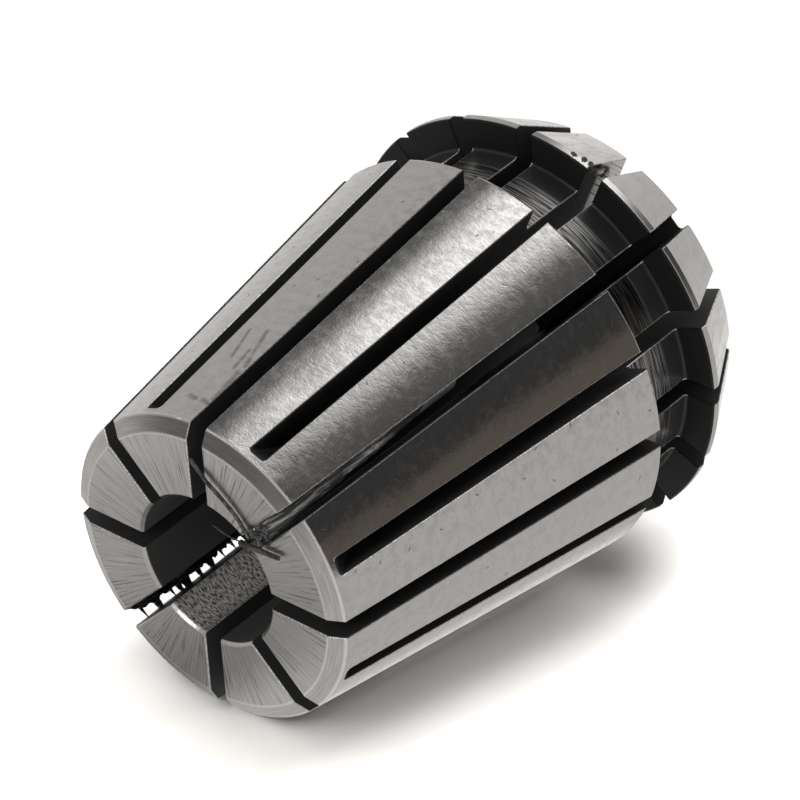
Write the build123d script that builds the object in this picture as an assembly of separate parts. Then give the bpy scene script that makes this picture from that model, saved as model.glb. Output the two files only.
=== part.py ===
"""ER collet, size 32, with an 11 mm bore.

A spring steel sleeve, turned and ground as one piece. Eight slots sawn from each end leave
sixteen springy leaves, which close on a tool shank when a nut pushes the long cone into its
taper. It stands on its nut face: Z runs along the bore, from the centre of the nut face at 0
up to the small end, and +X passes through the middle of a leaf.
"""

import math
import os

from build123d import *

# Driving dimensions, in millimetres and degrees.
overall_length = 40.0
bore_diameter = 11.0
bore_chamfer_small_end = 0.25
bore_chamfer_nut_end = 0.5

# Long cone that seats in the spindle, given by its diameter at the gauge height.
gauge_diameter = 32.0
gauge_height = 7.16
cone_half_angle = 8.0
cone_start_height = 11.3
cone_start_radius = 0.25

# Flange that the nut's taper pushes on, and the groove that the nut pulls it out by.
flange_thickness = 5.8
flange_rim_diameter = 31.2
flange_rim_width = 0.55
flange_rim_chamfer = 0.15
nut_taper_half_angle = 30.0
groove_floor_diameter = 26.4
groove_corner_radius = 0.25

# Small end: a flat face inside a shallow chamfer.
end_chamfer_width = 1.13
end_chamfer_height = 0.56
end_edge_radius = 0.1

# Slots, each sawn by a disc that comes in radially, runs off one end and stops in the metal
# near the other.
slots_per_end = 8
slot_width = 1.25
slot_edge_break = 0.08
saw_diameter = 63.0
saw_corner_radius = 0.3
saw_reach_past_bore = 2.0
front_slot_web = 1.1
back_slot_depth_at_nut_face = 1.0

# Sizes that follow from those above.
bore_radius = bore_diameter / 2
rim_radius = flange_rim_diameter / 2
nut_taper_height = flange_thickness - flange_rim_width
nut_face_radius = rim_radius - nut_taper_height * math.tan(math.radians(nut_taper_half_angle))
groove_radius = groove_floor_diameter / 2
slot_pitch = 360 / slots_per_end
cutter_overrun = slot_width


def cone_radius(height):
    """Radius of the long cone at a height above the nut face."""
    slope = math.tan(math.radians(cone_half_angle))
    return gauge_diameter / 2 - (height - gauge_height) * slope


cone_end_height = overall_length - end_chamfer_height
end_face_radius = cone_radius(cone_end_height) - end_chamfer_width

# Corners of the outside, as radius and height, going up from the nut face.
nut_face_edge = (nut_face_radius, 0)
rim_bottom = (rim_radius, nut_taper_height)
rim_top = (rim_radius, flange_thickness - flange_rim_chamfer)
flange_back_edge = (rim_radius - flange_rim_chamfer, flange_thickness)
groove_bottom = (groove_radius, flange_thickness)
groove_top = (groove_radius, cone_start_height)
cone_start = (cone_radius(cone_start_height), cone_start_height)
cone_end = (cone_radius(cone_end_height), cone_end_height)
end_face_edge = (end_face_radius, overall_length)


def turned_sector():
    """One pitch of the sleeve as turned and ground, from the middle of one back slot to the next."""
    bore_side = [
        (bore_radius + bore_chamfer_small_end, overall_length),
        (bore_radius, overall_length - bore_chamfer_small_end),
        (bore_radius, bore_chamfer_nut_end),
        (bore_radius + bore_chamfer_nut_end, 0),
    ]
    outside = [
        nut_face_edge,
        rim_bottom,
        rim_top,
        flange_back_edge,
        groove_bottom,
        groove_top,
        cone_start,
        cone_end,
        end_face_edge,
    ]
    section = make_face(Polyline(outside + bore_side, close=True))
    roundings = [
        ([groove_bottom, groove_top], groove_corner_radius),
        ([cone_start], cone_start_radius),
        ([cone_end, end_face_edge], end_edge_radius),
    ]
    for corners, radius in roundings:
        vertices = [section.vertices().sort_by_distance(Vertex(*corner, 0))[0] for corner in corners]
        section = fillet(vertices, radius)
    return Rot(0, 0, -slot_pitch / 4) * revolve(Plane.XZ * section, Axis.Z, slot_pitch)


def saw_sweep(tip_radius, tip_height, open_height):
    """The saw and its travel on +X: its rim stops at the tip, and it runs off at open_height."""
    saw_radius = saw_diameter / 2
    nearest_to_axis = bore_radius - saw_reach_past_bore
    centre_radius = nearest_to_axis + saw_radius
    tip_to_centre = math.sqrt(saw_radius**2 - (centre_radius - tip_radius) ** 2)
    travel = 1 if open_height > tip_height else -1
    centre_height = tip_height + travel * tip_to_centre
    end_height = open_height + travel * cutter_overrun
    disc = Cylinder(saw_radius, slot_width)
    disc = fillet(disc.edges().filter_by(GeomType.CIRCLE), saw_corner_radius)
    disc = Pos(centre_radius, 0, centre_height) * Rot(90, 0, 0) * disc
    path = Box(saw_radius, slot_width, abs(end_height - centre_height))
    middle = Pos((nearest_to_axis + centre_radius) / 2, 0, (centre_height + end_height) / 2)
    return disc + middle * path


def arc_drop(radius):
    """How far a round surface has fallen from its crown at the side of a slot."""
    return radius - math.sqrt(radius**2 - (slot_width / 2) ** 2)


def along_and_outwards(start, end):
    """Unit vectors along a straight stretch of the outside at +X, and square to it, out of the metal."""
    along = Vector(end[0] - start[0], 0, end[1] - start[1]).normalized()
    return along, Vector(along.Z, 0, -along.X)


def edge_break(start, end, past_start=0, past_end=0):
    """Wedge that breaks a slot's two edges along one straight stretch of the outside."""
    along, outwards = along_and_outwards(start, end)
    surface = Vector(start[0], 0, start[1]) - outwards * arc_drop(min(start[0], end[0]))
    depth = slot_width / 2 + slot_edge_break
    half_width = depth + slot_edge_break
    corners = [(-depth, 0), (slot_edge_break, half_width), (slot_edge_break, -half_width)]
    wedge = extrude(make_face(Polyline(corners, close=True)), math.dist(start, end) + past_start + past_end)
    return Plane(origin=surface - along * past_start, x_dir=outwards, z_dir=along) * wedge


def blind_end_break(start, tip):
    """Tray that breaks the edges of a slot along the cone and round its closed end at the tip."""
    along, outwards = along_and_outwards(start, tip)
    surface = Vector(start[0], 0, start[1]) - outwards * arc_drop(tip[0])
    mouth = slot_edge_break * 2
    length = math.dist(start, tip) + mouth
    outline = RectangleRounded(length * 2, slot_width + mouth * 2, saw_corner_radius + mouth)
    outline = Pos(0, 0, slot_edge_break) * outline
    tray = extrude(outline, slot_edge_break * 3, dir=(0, 0, -1), taper=45)
    return Plane(origin=surface, x_dir=along, z_dir=outwards) * tray


def slot_cutters():
    """What one back slot and one front slot remove, each on +X."""
    run = cutter_overrun
    corner = -groove_corner_radius
    shared = [
        edge_break(nut_face_edge, rim_bottom, run, run),
        edge_break(rim_bottom, rim_top, run, run),
        edge_break(flange_back_edge, groove_bottom, run, corner),
        edge_break(groove_bottom, groove_top, corner, corner),
        edge_break(groove_top, cone_start, corner, run),
    ]
    back = [
        saw_sweep(nut_face_radius - back_slot_depth_at_nut_face, 0, overall_length),
        edge_break(cone_start, cone_end, run, run),
        edge_break(cone_end, end_face_edge, run, run),
        edge_break(end_face_edge, (bore_radius, overall_length), run, 0),
    ]
    tip_height = overall_length - front_slot_web
    tip = (cone_radius(tip_height), tip_height)
    front = [
        saw_sweep(*tip, 0),
        blind_end_break(cone_start, tip),
        edge_break((bore_radius, 0), nut_face_edge, 0, run),
    ]
    return back + shared, front + shared


def collet():
    """The whole sleeve: sectors that each run from one back slot to the next, in a ring."""
    back, front = slot_cutters()
    cutters = [Rot(0, 0, slot_pitch / 4) * cutter for cutter in front]
    for place in (-slot_pitch / 4, slot_pitch * 3 / 4):
        cutters += [Rot(0, 0, place) * cutter for cutter in back]
    sector = turned_sector() - cutters
    ring = [Rot(0, 0, place * slot_pitch) * sector for place in range(slots_per_end)]
    return ring[0] + ring[1:]


os.makedirs("parts", exist_ok=True)
export_step(collet(), "parts/collet.step")
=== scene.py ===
import math

import bmesh
import bpy
from mathutils import Matrix, Vector
from mathutils.noise import fractal


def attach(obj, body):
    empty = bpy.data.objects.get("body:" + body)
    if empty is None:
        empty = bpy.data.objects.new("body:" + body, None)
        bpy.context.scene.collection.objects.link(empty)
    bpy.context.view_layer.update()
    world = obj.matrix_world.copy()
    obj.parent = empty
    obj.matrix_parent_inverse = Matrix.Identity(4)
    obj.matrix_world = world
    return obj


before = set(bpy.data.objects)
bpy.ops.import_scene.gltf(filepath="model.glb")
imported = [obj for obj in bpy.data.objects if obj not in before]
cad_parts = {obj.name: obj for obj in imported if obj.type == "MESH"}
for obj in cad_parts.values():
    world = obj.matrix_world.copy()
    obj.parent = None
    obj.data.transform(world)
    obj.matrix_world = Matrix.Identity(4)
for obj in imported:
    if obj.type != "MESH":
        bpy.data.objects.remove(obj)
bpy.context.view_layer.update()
root = "root"
mm = 0.001

# --- Camera -------------------------------------------------------------------------------
# A long lens looks down past the small end, along the cone, to the flange behind it. The
# collet stands on its nut face here but lies in view, so the camera is rolled away from it.

camera_place = Vector((281.83, -41.76, 233.55)) * mm
camera_aim = Vector((0.18, 1.18, 19.01)) * mm
camera_up = Vector((0.4802, 0.7315, -0.4840))
lens_length = 238.3
sensor_width = 36.0

looking = (camera_aim - camera_place).normalized()
rightwards = looking.cross(camera_up).normalized()
upwards = rightwards.cross(looking)
camera = bpy.data.objects.new("camera", bpy.data.cameras.new("camera"))
camera.data.lens = lens_length
camera.data.sensor_width = sensor_width
camera.data.clip_start = 0.01
turn = Matrix((rightwards, upwards, -looking)).transposed()
camera.matrix_world = Matrix.Translation(camera_place) @ turn.to_4x4()
bpy.context.collection.objects.link(camera)
bpy.context.scene.camera = camera
bpy.context.scene.view_settings.view_transform = "Standard"


# --- Studio -------------------------------------------------------------------------------
# The collet lies in a tent of white cloth, on a white table that its cone would touch. A soft
# lamp hangs overhead, and the side where one looks in is open to a dark room.

def new_tree(owner):
    """Empties a material's or world's node tree and returns it."""
    owner.use_nodes = True
    owner.node_tree.nodes.clear()
    return owner.node_tree


def new_group(name, inputs, outputs):
    """Node group with named inputs and outputs, and the values that come in."""
    group = bpy.data.node_groups.new(name, "ShaderNodeTree")
    for direction, sockets in (("INPUT", inputs), ("OUTPUT", outputs)):
        for socket, kind in sockets.items():
            group.interface.new_socket(socket, in_out=direction, socket_type="NodeSocket" + kind)
    return group, group.nodes.new("NodeGroupInput").outputs


def add(tree, kind, *inputs, **settings):
    """Adds a node, sets its settings, feeds its inputs in order and returns its first output."""
    node = tree.nodes.new(kind)
    for name, value in settings.items():
        setattr(node, name, value)
    for socket, value in zip([s for s in node.inputs if s.enabled], inputs):
        if isinstance(value, bpy.types.NodeSocket):
            tree.links.new(value, socket)
        elif value is not None:
            socket.default_value = value
    outputs = [s for s in node.outputs if s.enabled]
    return outputs[0] if outputs else node


def calc(tree, operation, *inputs, clamp=False):
    """One step of arithmetic on values."""
    return add(tree, "ShaderNodeMath", *inputs, operation=operation, use_clamp=clamp)


def product(tree, *values):
    """Product of several values."""
    result = values[0]
    for value in values[1:]:
        result = calc(tree, "MULTIPLY", result, value)
    return result


def largest(tree, *values):
    """Largest of several values."""
    result = values[0]
    for value in values[1:]:
        result = calc(tree, "MAXIMUM", result, value)
    return result


def step(tree, value, start, end, low=0.0, high=1.0):
    """Value that goes smoothly from low at start to high at end."""
    return add(tree, "ShaderNodeMapRange", value, start, end, low, high, interpolation_type="SMOOTHSTEP")


def between(tree, value, start, end, soft):
    """Mask of the stretch from start to end, with soft edges."""
    rise = step(tree, value, start - soft, start)
    fall = step(tree, value, end, end + soft, 1.0, 0.0)
    return product(tree, rise, fall)


def opposite(tree, mask):
    """Mask of what another mask leaves."""
    return step(tree, mask, 1.0, 0.0)


def tint(tree, mask, first, second):
    """Colour that goes from the first to the second as the mask rises."""
    return add(tree, "ShaderNodeMix", mask, first, second, data_type="RGBA")


def blend(tree, mask, first, second):
    """Value that goes from the first to the second as the mask rises."""
    return add(tree, "ShaderNodeMix", mask, first, second, data_type="FLOAT")


def grey(value, warmth=0.02):
    """A grey that leans to brown by its warmth."""
    return (value * (1 + warmth), value, value * (1 - warmth), 1.0)


world = bpy.data.worlds.new("studio")
bpy.context.scene.world = world
sky = new_tree(world)
ray = add(sky, "ShaderNodeTexCoord")
along_x, along_y, along_z = add(sky, "ShaderNodeSeparateXYZ", ray).node.outputs
bearing = calc(sky, "DEGREES", calc(sky, "ARCTAN2", along_y, along_x))
climb = calc(sky, "DEGREES", calc(sky, "ARCSINE", along_z))


def towards(direction):
    """Cosine of the angle between a ray and a direction."""
    way = tuple(direction.normalized())
    return add(sky, "ShaderNodeVectorMath", ray, way, operation="DOT_PRODUCT").node.outputs["Value"]


def patch(direction, full, edge):
    """Mask of a round patch of the sky, whole within one angle and gone past the other."""
    return step(sky, towards(direction), math.cos(math.radians(edge)), math.cos(math.radians(full)))


# Cloth above the table, both brighter on the far side and shaded past the flange.
overhead = Vector((0.7983, 0.5860, -0.1392)).normalized()
far_table = patch(Vector((-0.66, 0.20, -0.72)), 6, 36)
far_cloth = patch(Vector((-0.70, 0.50, -0.51)), 6, 30)
shaded_cloth = patch(Vector((-0.164, 0.406, 0.899)), 25, 38)
above_table = step(sky, towards(overhead), -0.25, 0.05)
colour = tint(sky, above_table, grey(0.58, 0.025), grey(0.53, 0.025))
colour = tint(sky, far_table, colour, grey(0.95, 0.02))
colour = tint(sky, far_cloth, colour, grey(0.70, 0.02))
colour = tint(sky, shaded_cloth, colour, grey(0.13, 0.07))

# Open side with the dark room, lit a little round the lamp, and its doorway.
lamp_towards = Vector((0.716, 0.454, -0.530))
room = tint(sky, patch(lamp_towards, 14, 44), grey(0.045, 0.01), grey(0.17, 0.02))
low_part = between(sky, climb, -58, 26, 12)
opening = product(sky, between(sky, bearing, -53, 70, 9), low_part)
doorway = product(sky, between(sky, bearing, -51, -39, 1.2), low_part)
colour = tint(sky, opening, colour, room)
colour = tint(sky, doorway, colour, grey(0.11, 0.16))

# The lamp, which ends at a straight edge, and a small bright window past the small end.
lamp = product(sky, patch(lamp_towards, 0, 25), step(sky, climb, -15, -28))
window = patch(Vector((0.570, 0.360, 0.740)), 6, 15)
colour = tint(sky, lamp, colour, grey(2.1, 0.01))
colour = tint(sky, window, colour, grey(3.0))

# Seen past the edges of the table and the cloth, the rest of the studio is plain white.
seen = sky.nodes.new("ShaderNodeLightPath").outputs["Is Camera Ray"]
colour = tint(sky, seen, colour, grey(1.02, 0.0))
add(sky, "ShaderNodeOutputWorld", add(sky, "ShaderNodeBackground", colour, 1.0))

# White paper gets darker where something lies close over it.
contact_reach = 8 * mm
contact_shade, given = new_group(
    "contact_shade", {"Paper": "Color", "Strength": "Float"}, {"Colour": "Color"}
)
open_sky = add(contact_shade, "ShaderNodeAmbientOcclusion", None, contact_reach, samples=1).node
open_sky = calc(contact_shade, "POWER", open_sky.outputs["AO"], given["Strength"])
add(contact_shade, "NodeGroupOutput", tint(contact_shade, open_sky, grey(0.0), given["Paper"]))


def card(name, centre, normal, brightness, contact=0.0, half_size=1.5, mirrored=False):
    """A one-sided white sheet, for the camera alone or mirrored alone. Contact deepens its
    shadows; a sheet without it stays white in the middle."""
    mesh = bpy.data.meshes.new(name)
    shape = bmesh.new()
    bmesh.ops.create_grid(shape, x_segments=1, y_segments=1, size=half_size)
    facing = normal.to_track_quat("Z", "Y").to_matrix().to_4x4()
    bmesh.ops.transform(shape, matrix=facing, verts=shape.verts)
    bmesh.ops.translate(shape, vec=centre, verts=shape.verts)
    shape.to_mesh(mesh)
    shape.free()

    paper = bpy.data.materials.new(name + "_paper")
    tree = new_tree(paper)
    place = tree.nodes.new("ShaderNodeTexCoord").outputs["Object"]
    off_centre = add(tree, "ShaderNodeVectorMath", place, tuple(centre), operation="DISTANCE").node
    off_centre = off_centre.outputs["Value"]
    hidden = tree.nodes.new("ShaderNodeNewGeometry").outputs["Backfacing"]
    colour = grey(brightness, 0.004)
    if contact:
        colour = add(tree, "ShaderNodeGroup", colour, contact, node_tree=contact_shade)
    shade = add(tree, "ShaderNodeBsdfDiffuse", colour)
    if not contact:
        white_spot = step(tree, off_centre, 15.5 * mm, 13 * mm)
        glow = add(tree, "ShaderNodeEmission", grey(1.0, 0.0), 1.02)
        shade = add(tree, "ShaderNodeMixShader", white_spot, shade, glow)
    if mirrored:
        faded = step(tree, off_centre, 0.6 * half_size, 0.95 * half_size)
        hidden = largest(tree, hidden, faded)
    clear = add(tree, "ShaderNodeBsdfTransparent")
    add(tree, "ShaderNodeOutputMaterial", add(tree, "ShaderNodeMixShader", hidden, shade, clear))
    mesh.materials.append(paper)

    sheet = bpy.data.objects.new(name, mesh)
    bpy.context.collection.objects.link(sheet)
    sheet.visible_diffuse = False
    sheet.visible_camera = not mirrored
    sheet.visible_glossy = mirrored
    sheet.visible_transmission = False
    sheet.visible_shadow = False


# Sheets under the nut face, and along the side that the collet lies on. The small one darkens
# what the end face mirrors of the table. The first stays white under the nut face, so that the
# slots show light where they open.
cone_rest = 16.84 * mm
before_small_end = Vector((-14.2, 2.5, 50.0)) * mm
card("floor", Vector((0, 0, 0)), Vector((0, 0, 1)), 3.6)
card("backdrop", -overhead * cone_rest, overhead, 4.8, contact=1.0)
card("front_of_backdrop", before_small_end, overhead, 1.0, contact=0.5, half_size=17 * mm, mirrored=True)


# --- Collet -------------------------------------------------------------------------------
# One turned piece of spring steel, hardened and blackened, then ground bright on the cone, on
# the nut's taper and on both ends. The slots, the bore and the groove keep the black oxide.

# Its sizes, in millimetres.
overall_length = 40.0
end_face_radius = 10.28
chamfer_width = 1.13
chamfer_height = 0.56
cone_end = overall_length - chamfer_height
cone_slope = math.tan(math.radians(8))
gauge_radius = 16.0
gauge_height = 7.16
cone_start = 11.3
groove_floor_radius = 13.2
flange_height = 5.8
rim_start = 5.25
rim_radius = 15.6
nut_face_radius = 12.569
taper_slope = math.tan(math.radians(30))
bore_radius = 5.5
slot_count = 16
slot_half_width = 0.625
edge_break = 0.08
blind_tip_height = 38.9
web_radius = 11.57

steel = bpy.data.materials.new("ground_steel")
tree = new_tree(steel)
place = tree.nodes.new("ShaderNodeTexCoord").outputs["Object"]
place = add(tree, "ShaderNodeVectorMath", place, 1 / mm, operation="SCALE")
place_x, place_y, height = add(tree, "ShaderNodeSeparateXYZ", place).node.outputs
across = calc(tree, "ADD", product(tree, place_x, place_x), product(tree, place_y, place_y))
radius = calc(tree, "SQRT", across)

# Position round the collet, in slots from the back slot on its +X side, along the arc on the
# cone, and along the outline. Each leaf has a number.
slot_spacing = 2 * math.pi / slot_count
slot_arc = 5.3
turned_place = add(
    tree, "ShaderNodeVectorRotate", place, (0, 0, 0), slot_spacing / 2, rotation_type="Z_AXIS"
)
turned_x, turned_y, _ = add(tree, "ShaderNodeSeparateXYZ", turned_place).node.outputs
slots_round = calc(tree, "DIVIDE", calc(tree, "ARCTAN2", turned_y, turned_x), slot_spacing)
leaf = calc(tree, "FLOOR", slots_round)
off_slot = product(tree, calc(tree, "PINGPONG", slots_round, 0.5), slot_spacing)
slot_side = product(tree, radius, calc(tree, "SINE", off_slot))
arc = product(tree, slots_round, slot_arc)
outline = calc(tree, "SUBTRACT", height, radius)

# Radius of the turned outside at each height, and how deep below it a surface lies.
chamfer_slope = chamfer_width / chamfer_height
skin_cone = calc(tree, "MULTIPLY_ADD", height, -cone_slope, gauge_radius + gauge_height * cone_slope)
skin_chamfer = calc(
    tree, "MULTIPLY_ADD", height, -chamfer_slope, end_face_radius + overall_length * chamfer_slope
)
skin_taper = calc(tree, "MULTIPLY_ADD", height, taper_slope, nut_face_radius)
skin_flange = calc(tree, "MINIMUM", skin_taper, rim_radius)
skin_upper = calc(tree, "MINIMUM", skin_cone, skin_chamfer)
past_flange = step(tree, height, flange_height + 0.01, flange_height + 0.02)
past_groove = step(tree, height, cone_start - 0.1, cone_start - 0.09)
skin = blend(tree, past_flange, skin_flange, groove_floor_radius)
skin = blend(tree, past_groove, skin, skin_upper)
depth = calc(tree, "SUBTRACT", skin, radius)

# Masks of its surfaces, each a few hundredths wider or narrower than the true one, so that no
# rounded corner is missed.
end_face = step(tree, height, overall_length - 0.04, overall_length - 0.015)
nut_face = step(tree, height, 0.03, 0.015)
on_end = largest(tree, end_face, nut_face)
bored = step(tree, radius, bore_radius + 0.06, bore_radius + 0.03)
below_skin = product(tree, step(tree, depth, 0.03, 0.05), opposite(tree, largest(tree, on_end, bored)))
on_skin = opposite(tree, below_skin)
chamfer = product(tree, between(tree, height, cone_end, overall_length - 0.04, 0.02), on_skin)
groove = between(tree, height, flange_height - 0.02, cone_start - 0.02, 0.02)
rim_end = flange_height - 0.1
flange_back = product(tree, between(tree, height, rim_end, flange_height + 0.01, 0.01), below_skin)
rim = product(tree, between(tree, height, rim_start + 0.02, rim_end, 0.02), on_skin)
turned = largest(tree, chamfer, groove, rim)
near_end = step(tree, height, overall_length - 0.2, overall_length - 0.1)
# Lines where the end face meets the chamfer and where the chamfer meets the cone, painted near-white as
# a highlight.
face_line = between(tree, radius, end_face_radius - 0.06, end_face_radius + 0.06, 0.04)
face_line = product(tree, face_line, near_end)
cone_line = product(tree, between(tree, height, cone_end - 0.06, cone_end + 0.04, 0.05), on_skin)
corner_highlight = largest(tree, face_line, cone_line)

# Front slots stop short of the small end, and back slots leave a web at the nut face.
is_front = calc(tree, "PINGPONG", calc(tree, "ROUND", slots_round), 1.0)
front_open = step(tree, height, blind_tip_height + 0.05, blind_tip_height)
past_web = step(tree, radius, web_radius - 0.07, web_radius + 0.03)
back_open = largest(tree, opposite(tree, nut_face), past_web)
slotted = blend(tree, is_front, back_open, front_open)
past_wall = (slot_half_width + 0.045, slot_half_width + 0.025)
in_slot = product(tree, step(tree, slot_side, *past_wall), below_skin, slotted)
tip_line = between(tree, height, blind_tip_height, blind_tip_height + edge_break, 0.02)
past_tip = (slot_half_width + 0.055, slot_half_width - 0.025)
tip_edge = product(tree, tip_line, step(tree, slot_side, *past_tip), is_front)
broken = (slot_half_width + 0.015, slot_half_width + edge_break + 0.005)
side_edge = product(tree, between(tree, slot_side, *broken, 0.01), slotted)
slot_edge = product(tree, largest(tree, side_edge, tip_edge), opposite(tree, in_slot))

# Tool marks: one cloudy pattern, drawn out round the collet where it was ground or turned and
# outwards on its ends. Each leaf has its own stretch of it.
leaf_shift = 7.7
own_outline = calc(tree, "MULTIPLY_ADD", leaf, leaf_shift, outline)
rolled = add(tree, "ShaderNodeCombineXYZ", arc, own_outline, 0.0)


def vector_blend(mask, first, second):
    """Vector that goes from the first to the second as the mask rises."""
    return add(tree, "ShaderNodeMix", mask, first, second, data_type="VECTOR")


def noise(scales, detail, roughness=0.5, distortion=0.0):
    """Cloudy pattern around 0.5 on the rolled-out outline, with its own scale each way."""
    vector = add(tree, "ShaderNodeVectorMath", rolled, scales, operation="MULTIPLY")
    lacunarity = 2.0
    return add(
        tree, "ShaderNodeTexNoise", vector, 1.0, detail, roughness, lacunarity, distortion,
        noise_dimensions="2D",
    )


cone_grain = (2.0, 4.6, 0.0)
end_grain = (5.5, 0.22, 0.0)
turned_grain = (0.25, 11.0, 0.0)
bore_grain = (1.1, 8.0, 0.0)
grain = vector_blend(on_end, cone_grain, end_grain)
grain = vector_blend(turned, grain, turned_grain)
grain = vector_blend(bored, grain, bore_grain)
strokes = noise(grain, 3.0, 0.6, 0.3)
flecks = noise((5.5, 7.5, 0.0), 1.0)
clouds = noise((1.2, 1.2, 0.0), 4.0, 0.72)

# Short scratches and a few dark pits, one to a cell at most.
full_turn = 6.28
cells_per_mm = 0.9
cells = add(tree, "ShaderNodeTexVoronoi", rolled, cells_per_mm, voronoi_dimensions="2D").node
away = add(tree, "ShaderNodeVectorMath", rolled, cells.outputs["Position"], operation="SUBTRACT")
chance, lean, pick = add(tree, "ShaderNodeSeparateColor", cells.outputs["Color"]).node.outputs
lean = product(tree, lean, full_turn)
mark = add(tree, "ShaderNodeVectorRotate", away, (0, 0, 0), lean, rotation_type="Z_AXIS")
lengthwise, sideways, _ = add(tree, "ShaderNodeSeparateXYZ", mark).node.outputs
lengthwise = calc(tree, "ABSOLUTE", lengthwise)
sideways = calc(tree, "ABSOLUTE", sideways)
scratch_shape = product(tree, step(tree, sideways, 0.045, 0.01), step(tree, lengthwise, 0.35, 0.1))
scratch = product(tree, scratch_shape, step(tree, chance, 0.45, 0.85))
pit_shape = product(tree, step(tree, sideways, 0.08, 0.03), step(tree, lengthwise, 0.2, 0.1))
pit = product(tree, pit_shape, step(tree, pick, 0.10, 0.09))

# Oil smeared on one leaf near the small end. Each smear has two ends, in slots round and height,
# and a half width.
smears = (
    ((2.14, 37.6), (2.30, 37.35), 0.38),
    ((2.42, 37.45), (2.56, 37.3), 0.36),
    ((2.15, 37.0), (2.20, 34.3), 0.45),
    ((2.20, 33.6), (2.40, 30.2), 0.30),
    ((2.33, 34.0), (2.37, 32.2), 0.27),
    ((2.53, 33.1), (2.68, 30.4), 0.26),
)
unrolled = add(tree, "ShaderNodeCombineXYZ", arc, height, 0.0)


def smear(start, end, half_width):
    """Mask of a soft stroke from start to end."""
    first = Vector((start[0] * slot_arc, start[1], 0.0))
    course = Vector((end[0] * slot_arc, end[1], 0.0)) - first
    unit_share = tuple(course / course.length_squared)
    offset = add(tree, "ShaderNodeVectorMath", unrolled, tuple(first), operation="SUBTRACT")
    share = add(tree, "ShaderNodeVectorMath", offset, unit_share, operation="DOT_PRODUCT").node
    share = calc(tree, "MULTIPLY", share.outputs["Value"], 1.0, clamp=True)
    nearest = add(tree, "ShaderNodeVectorMath", tuple(course), operation="SCALE")
    tree.links.new(share, nearest.node.inputs["Scale"])
    off_course = add(tree, "ShaderNodeVectorMath", offset, nearest, operation="DISTANCE").node
    return step(tree, off_course.outputs["Value"], half_width, 0.0)


oil = largest(tree, *(smear(*course) for course in smears))
oil = product(tree, oil, step(tree, clouds, 0.18, 0.50))

# Colours, from the ground skin to the black oxide. The groove's wall and corner beside the
# flange stay black, and the rest of its floor shows turned streaks.
ground = grey(0.60, 0.015)
oxide = grey(0.055, -0.01)
streaky = step(tree, strokes, 0.42, 0.62)
groove_floor = product(tree, groove, step(tree, height, 7.4, 7.7))
groove_corner = calc(tree, "SUBTRACT", groove, groove_floor)
hairlines = tint(tree, step(tree, strokes, 0.58, 0.66), grey(0.68), grey(0.32))
hairlines = tint(tree, step(tree, strokes, 0.40, 0.34), hairlines, grey(0.82))
stained = largest(tree, product(tree, pit, 0.7), product(tree, oil, 0.65))
# Slot edges mix dark burrs with flecks up to white metal: partly real burrs, partly a painted highlight.
burrs_and_edge_highlights = tint(tree, step(tree, flecks, 0.4, 0.62), grey(0.50), grey(1.0, 0.01))
colour = tint(tree, step(tree, clouds, 0.35, 0.7), ground, grey(0.54, 0.025))
colour = tint(tree, stained, colour, grey(0.16, 0.03))
colour = tint(tree, groove_floor, colour, tint(tree, streaky, grey(0.025), grey(0.30)))
colour = tint(tree, on_end, colour, hairlines)
colour = tint(tree, chamfer, colour, tint(tree, streaky, grey(0.50), grey(0.66)))
# Painted highlight along the corner lines.
colour = tint(tree, corner_highlight, colour, grey(0.9, 0.01))
colour = tint(tree, groove_corner, colour, oxide)
# Slot edges get their burrs and painted highlight flecks.
colour = tint(tree, slot_edge, colour, burrs_and_edge_highlights)

# The bore is black, with painted shade that makes it blacker deep down. One land near the small end
# is painted lit: bare, with ring marks, and a painted highlight brightest along its middle.
lit_land = product(tree, between(tree, slots_round, -8.0, -6.0, 0.05), step(tree, height, 27.0, 33.0))
highlight_band = between(tree, slots_round, -7.35, -6.75, 0.5)
lit_rings = tint(tree, highlight_band, grey(0.60, 0.04), grey(1.0, 0.02))
ring_marks = tint(tree, step(tree, strokes, 0.38, 0.58), grey(0.16, 0.1), lit_rings)
# Painted shade: the bore's black goes darker deep down, away from the small end.
bore_black_shaded_deep = tint(tree, step(tree, height, 22.0, 30.0), grey(0.015, 0.0), grey(0.09, 0.0))
colour = tint(tree, bored, colour, tint(tree, lit_land, bore_black_shaded_deep, ring_marks))

# Slot walls are black, apart from one wall in the flange that was filed bare.
slot_black = largest(tree, in_slot, flange_back)
bare_wall = product(
    tree, between(tree, slots_round, 1.02, 1.3, 0.01), step(tree, height, 3.9, 3.5), in_slot,
    step(tree, strokes, 0.36, 0.42),
)
colour = tint(tree, slot_black, colour, tint(tree, flange_back, oxide, grey(0.02, 0.0)))
colour = tint(tree, bare_wall, colour, ground)

rough = calc(tree, "MULTIPLY_ADD", step(tree, clouds, 0.35, 0.68), 0.17, 0.09)
rough = blend(tree, step(tree, flecks, 0.64, 1.0), rough, 0.32)
rough = blend(tree, largest(tree, scratch, pit), rough, 0.34)
rough = blend(tree, on_end, rough, 0.33)
rough = blend(tree, turned, rough, 0.28)
rough = blend(tree, slot_edge, rough, 0.45)
rough = blend(tree, corner_highlight, rough, 0.42)
rough = blend(tree, bored, rough, blend(tree, lit_land, 0.5, 0.33))
rough = blend(tree, flange_back, rough, 0.5)
rough = blend(tree, in_slot, rough, blend(tree, bare_wall, 0.5, 0.3))

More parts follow.
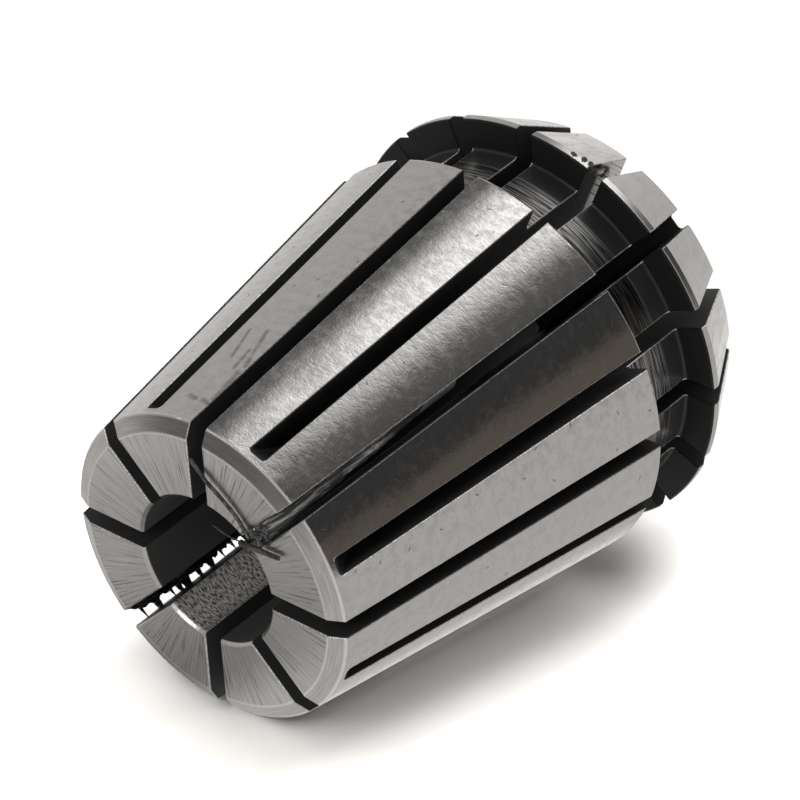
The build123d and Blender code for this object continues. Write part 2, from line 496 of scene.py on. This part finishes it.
# Depth of the marks, in millimetres.
marks = calc(tree, "ADD", product(tree, strokes, 0.0034), product(tree, flecks, 0.0012))
marks = calc(tree, "MULTIPLY_ADD", clouds, 0.010, marks)
marks = calc(tree, "MULTIPLY_ADD", scratch, -0.0015, marks)
marks = blend(tree, on_end, marks, product(tree, strokes, 0.013))
marks = blend(tree, turned, marks, product(tree, strokes, 0.006))
marks = blend(tree, bored, marks, product(tree, strokes, blend(tree, lit_land, 0.002, 0.05)))
bump = tree.nodes.new("ShaderNodeBump")
bump.inputs["Distance"].default_value = mm
tree.links.new(marks, bump.inputs["Height"])

bore_coat = product(tree, bored, step(tree, lit_land, 1.0, 0.0, 0.85, 1.0))
slot_coat = calc(tree, "SUBTRACT", slot_black, bare_wall)
coated = largest(tree, slot_coat, groove_corner, bore_coat)
shader = tree.nodes.new("ShaderNodeBsdfPrincipled")
tree.links.new(colour, shader.inputs["Base Color"])
tree.links.new(calc(tree, "SUBTRACT", 1.0, coated), shader.inputs["Metallic"])
tree.links.new(rough, shader.inputs["Roughness"])
tree.links.new(bump.outputs[0], shader.inputs["Normal"])
shader.inputs["Specular IOR Level"].default_value = 0.25
add(tree, "ShaderNodeOutputMaterial", shader.outputs[0])
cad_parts["collet"].data.materials[0] = steel


# --- Swarf and burrs ------------------------------------------------------------------------
# Thin torn steel that the slotting saw left behind: a ribbon on one wall of a back slot, a
# fringe across the slot opposite, curled splinters on the small end, and nicks on the flange.

tearing, given = new_group(
    "tearing",
    {"Fineness": "Vector", "Black Below": "Float", "Bare Above": "Float"},
    {"Bare": "Float", "Crumple": "Float"},
)
place = tearing.nodes.new("ShaderNodeTexCoord").outputs["Object"]
place = add(tearing, "ShaderNodeVectorMath", place, 1 / mm, operation="SCALE")
place = add(
    tearing, "ShaderNodeVectorRotate", place, (0, 0, 0), slot_spacing / 2, rotation_type="Z_AXIS"
)
place = add(tearing, "ShaderNodeVectorMath", place, given["Fineness"], operation="MULTIPLY")
crumple = add(tearing, "ShaderNodeTexNoise", place, 1.0, 3.0, 0.65)
bare = step(tearing, crumple, given["Black Below"], given["Bare Above"])
add(tearing, "NodeGroupOutput", bare, crumple)


def torn_steel(name, fineness, black_below, bare_above, bright):
    """Material of torn steel: black, with bare streaks or spots as fine as given each way in mm."""
    material = bpy.data.materials.new(name)
    tree = new_tree(material)
    torn = add(tree, "ShaderNodeGroup", fineness, black_below, bare_above, node_tree=tearing)
    bare, crumple = torn.node.outputs["Bare"], torn.node.outputs["Crumple"]
    shader = tree.nodes.new("ShaderNodeBsdfPrincipled")
    tree.links.new(tint(tree, bare, grey(0.05, 0.01), bright), shader.inputs["Base Color"])
    tree.links.new(blend(tree, bare, 0.6, 0.36), shader.inputs["Roughness"])
    tree.links.new(bare, shader.inputs["Metallic"])
    bump = tree.nodes.new("ShaderNodeBump")
    bump.inputs["Distance"].default_value = 0.06 * mm
    tree.links.new(crumple, bump.inputs["Height"])
    tree.links.new(bump.outputs[0], shader.inputs["Normal"])
    shader.inputs["Specular IOR Level"].default_value = 0.25
    add(tree, "ShaderNodeOutputMaterial", shader.outputs[0])
    return material


torn_strip = torn_steel("torn_strip", (0.3, 3.6, 0.3), 0.45, 0.66, grey(0.60, 0.01))
torn_curl = torn_steel("torn_curl", (1.4, 1.4, 1.4), 0.34, 0.74, grey(0.30, 0.01))


def slot_place(angle, out, aside, height):
    """Place in a slot, from its angle, its distance off the axis and off its middle, and its height."""
    return Matrix.Rotation(math.radians(angle), 3, "Z") @ Vector((out, aside, height)) * mm


def fasten(name, data, finish):
    """Makes a piece of swarf from its mesh or curve, and joins it to the collet."""
    piece = bpy.data.objects.new(name, data)
    data.materials.append(finish)
    bpy.context.collection.objects.link(piece)
    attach(piece, root)


def strip(name, angle, wall, stops, teeth, tear, thickness):
    """A torn strip rooted on a slot wall. Each stop has a distance off the axis, a height and a
    width; each tooth reaches further, with a height, a half length and a width."""
    tears_per_mm, waves_per_mm = 1.7, 1.3
    sag_depth, wave_depth = 0.25, 0.12
    tooth_steepness = 2.2
    own_tears = wall * 9.0
    shape = bmesh.new()
    bmesh.ops.create_grid(shape, x_segments=240, y_segments=4, size=0.5)
    for vert in shape.verts:
        along = (vert.co.x + 0.5) * (len(stops) - 1)
        across = vert.co.y + 0.5
        stop = min(int(along), len(stops) - 2)
        out, height, width = Vector(stops[stop]).lerp(Vector(stops[stop + 1]), along - stop)
        ragged = fractal(Vector((height * tears_per_mm, out * tears_per_mm, own_tears)), 0.8, 2.1, 4)
        width *= 1 + tear * ragged
        for tooth_height, half_length, tooth_width in teeth:
            inside = 1 - abs(height - tooth_height) / half_length
            width = max(width, tooth_width * min(1.0, max(0.0, inside * tooth_steepness)))
        wave = fractal(Vector((height, out, across)) * waves_per_mm, 0.9, 2.0, 3)
        sag = sag_depth * across * across + wave_depth * wave
        aside = wall - math.copysign(width * across, wall)
        vert.co = slot_place(angle, out - sag, aside, height)
    bmesh.ops.recalc_face_normals(shape, faces=shape.faces)
    bmesh.ops.solidify(shape, geom=shape.faces, thickness=thickness * mm)
    bmesh.ops.recalc_face_normals(shape, faces=shape.faces)
    mesh = bpy.data.meshes.new(name)
    shape.to_mesh(mesh)
    shape.free()
    fasten(name, mesh, torn_strip)


def splinter(name, stops, thickness, tip):
    """A round curled splinter along a smooth curve, thinner towards its tip."""
    curve = bpy.data.curves.new(name, "CURVE")
    curve.dimensions = "3D"
    curve.bevel_depth = thickness / 2 * mm
    curve.bevel_resolution = 2
    curve.resolution_u = 6
    curve.use_fill_caps = True
    spline = curve.splines.new("NURBS")
    spline.points.add(len(stops) - 1)
    for number, (knot, stop) in enumerate(zip(spline.points, stops)):
        knot.co = (*(Vector(stop) * mm), 1.0)
        knot.radius = 1 - (1 - tip) * number / (len(stops) - 1)
    spline.order_u = 3
    spline.use_endpoint_u = True
    fasten(name, curve, torn_curl)


def crumbs(name, places, size):
    """Torn lumps stuck to the steel, each a rough ball squashed its own way."""
    bulges_per_radius, bulge_height = 1.4, 0.55
    shape = bmesh.new()
    for number, place in enumerate(places):
        ball = bmesh.ops.create_icosphere(shape, subdivisions=3, radius=size * mm)["verts"]
        own_bulges = Vector((number * 7.0, 0, 0))
        squash = 0.6 + 0.25 * (number % 3)
        for vert in ball:
            bulge = fractal(vert.co / (size * mm) * bulges_per_radius + own_bulges, 0.8, 2.0, 3)
            vert.co *= 1 + bulge_height * bulge
            vert.co.z *= squash
        bmesh.ops.translate(shape, vec=Vector(place) * mm, verts=ball)
    mesh = bpy.data.meshes.new(name)
    shape.to_mesh(mesh)
    shape.free()
    fasten(name, mesh, torn_curl)


# Ribbon along the upper wall of the slot beside the splinters, from the bore to half-way down.
ribbon_slot = -11.25
ribbon_stops = (
    (7.4, 40.05, 0.9), (8.6, 40.1, 1.0), (10.0, 39.95, 0.9), (10.75, 39.6, 0.85),
    (11.25, 38.9, 0.8), (11.5, 37.2, 0.78), (11.78, 35.2, 0.75), (11.83, 34.85, 0.6),
    (12.08, 33.0, 0.68), (12.28, 31.2, 0.55), (12.45, 30.0, 0.42), (12.62, 28.6, 0.35),
    (12.7, 27.2, 0.05),
)
strip("slot_ribbon", ribbon_slot, 0.66, ribbon_stops, (), 0.07, 0.08)

# Fringe across the slot on the other side of the bore, with light between its teeth.
fringe_slot = 168.75
fringe_stops = (
    (11.0, 39.4, 0.15), (11.2, 38.6, 0.6), (11.6, 36.0, 0.72), (12.0, 33.0, 0.88),
    (12.6, 29.0, 0.75), (13.1, 26.6, 0.9),
)
fringe_teeth = (
    (38.5, 0.14, 1.3), (37.0, 0.48, 1.32), (35.42, 0.13, 1.3), (34.6, 0.36, 1.3), (33.85, 0.62, 1.32),
    (32.4, 0.34, 1.3), (31.1, 0.46, 1.3), (29.75, 0.13, 1.3), (28.42, 0.13, 1.3), (26.9, 0.6, 1.3),
)
strip("slot_fringe", fringe_slot, -0.66, fringe_stops, fringe_teeth, 0.3, 0.1)

# Splinters over the small end, which cross at the mouth of the ribbon's slot, among lumps.
long_stops = (
    (6.4, 6.15, 39.2), (7.0, 5.2, 39.9), (7.35, 4.39, 40.25), (7.2, 3.45, 40.3), (7.2, 2.5, 40.28),
    (7.1, 1.4, 40.25), (6.97, 0.5, 40.22), (6.7, -0.3, 40.25), (6.5, -1.0, 40.3),
)
short_stops = ((4.37, 1.46, 40.2), (4.75, 0.7, 40.3), (5.12, -0.15, 40.3), (5.8, -0.9, 40.35))
stub_stops = ((5.5, -0.7, 40.3), (6.0, -1.4, 40.35), (6.7, -2.3, 40.3), (7.45, -3.35, 40.28))
curl_stops = (
    (6.3, -0.4, 40.25), (7.0, -0.5, 40.6), (7.9, -1.0, 40.5), (8.2, -2.0, 40.3),
    (7.6, -2.4, 40.25), (7.0, -1.7, 40.4), (7.7, -1.2, 40.6),
)
lumps = (
    (7.0, -0.9, 40.15), (7.5, -1.4, 40.2), (7.0, -1.7, 40.15), (8.0, -1.7, 40.1), (8.3, -1.3, 40.15),
)
splinter("long_splinter", long_stops, 0.29, 1.0)
splinter("short_splinter", short_stops, 0.1, 1.0)
splinter("stub", stub_stops, 0.44, 0.7)
splinter("curled_splinter", curl_stops, 0.16, 0.6)
crumbs("torn_lumps", lumps, 0.28)

# Edge of a flange segment torn into its slot, with three nicks beside it.
lip_slot = 11.25
lip_stops = (
    (15.45, 5.6, 0.25), (15.3, 5.1, 0.6), (14.8, 4.4, 0.75), (14.2, 3.5, 0.6), (13.6, 2.6, 0.25),
    (13.1, 1.8, 0.05),
)
nicks = ((14.72, 4.98, 5.42), (14.95, 4.3, 5.28), (15.06, 3.75, 5.25))
strip("flange_lip", lip_slot, 0.7, lip_stops, (), 0.6, 0.12)
crumbs("flange_nicks", nicks, 0.22)
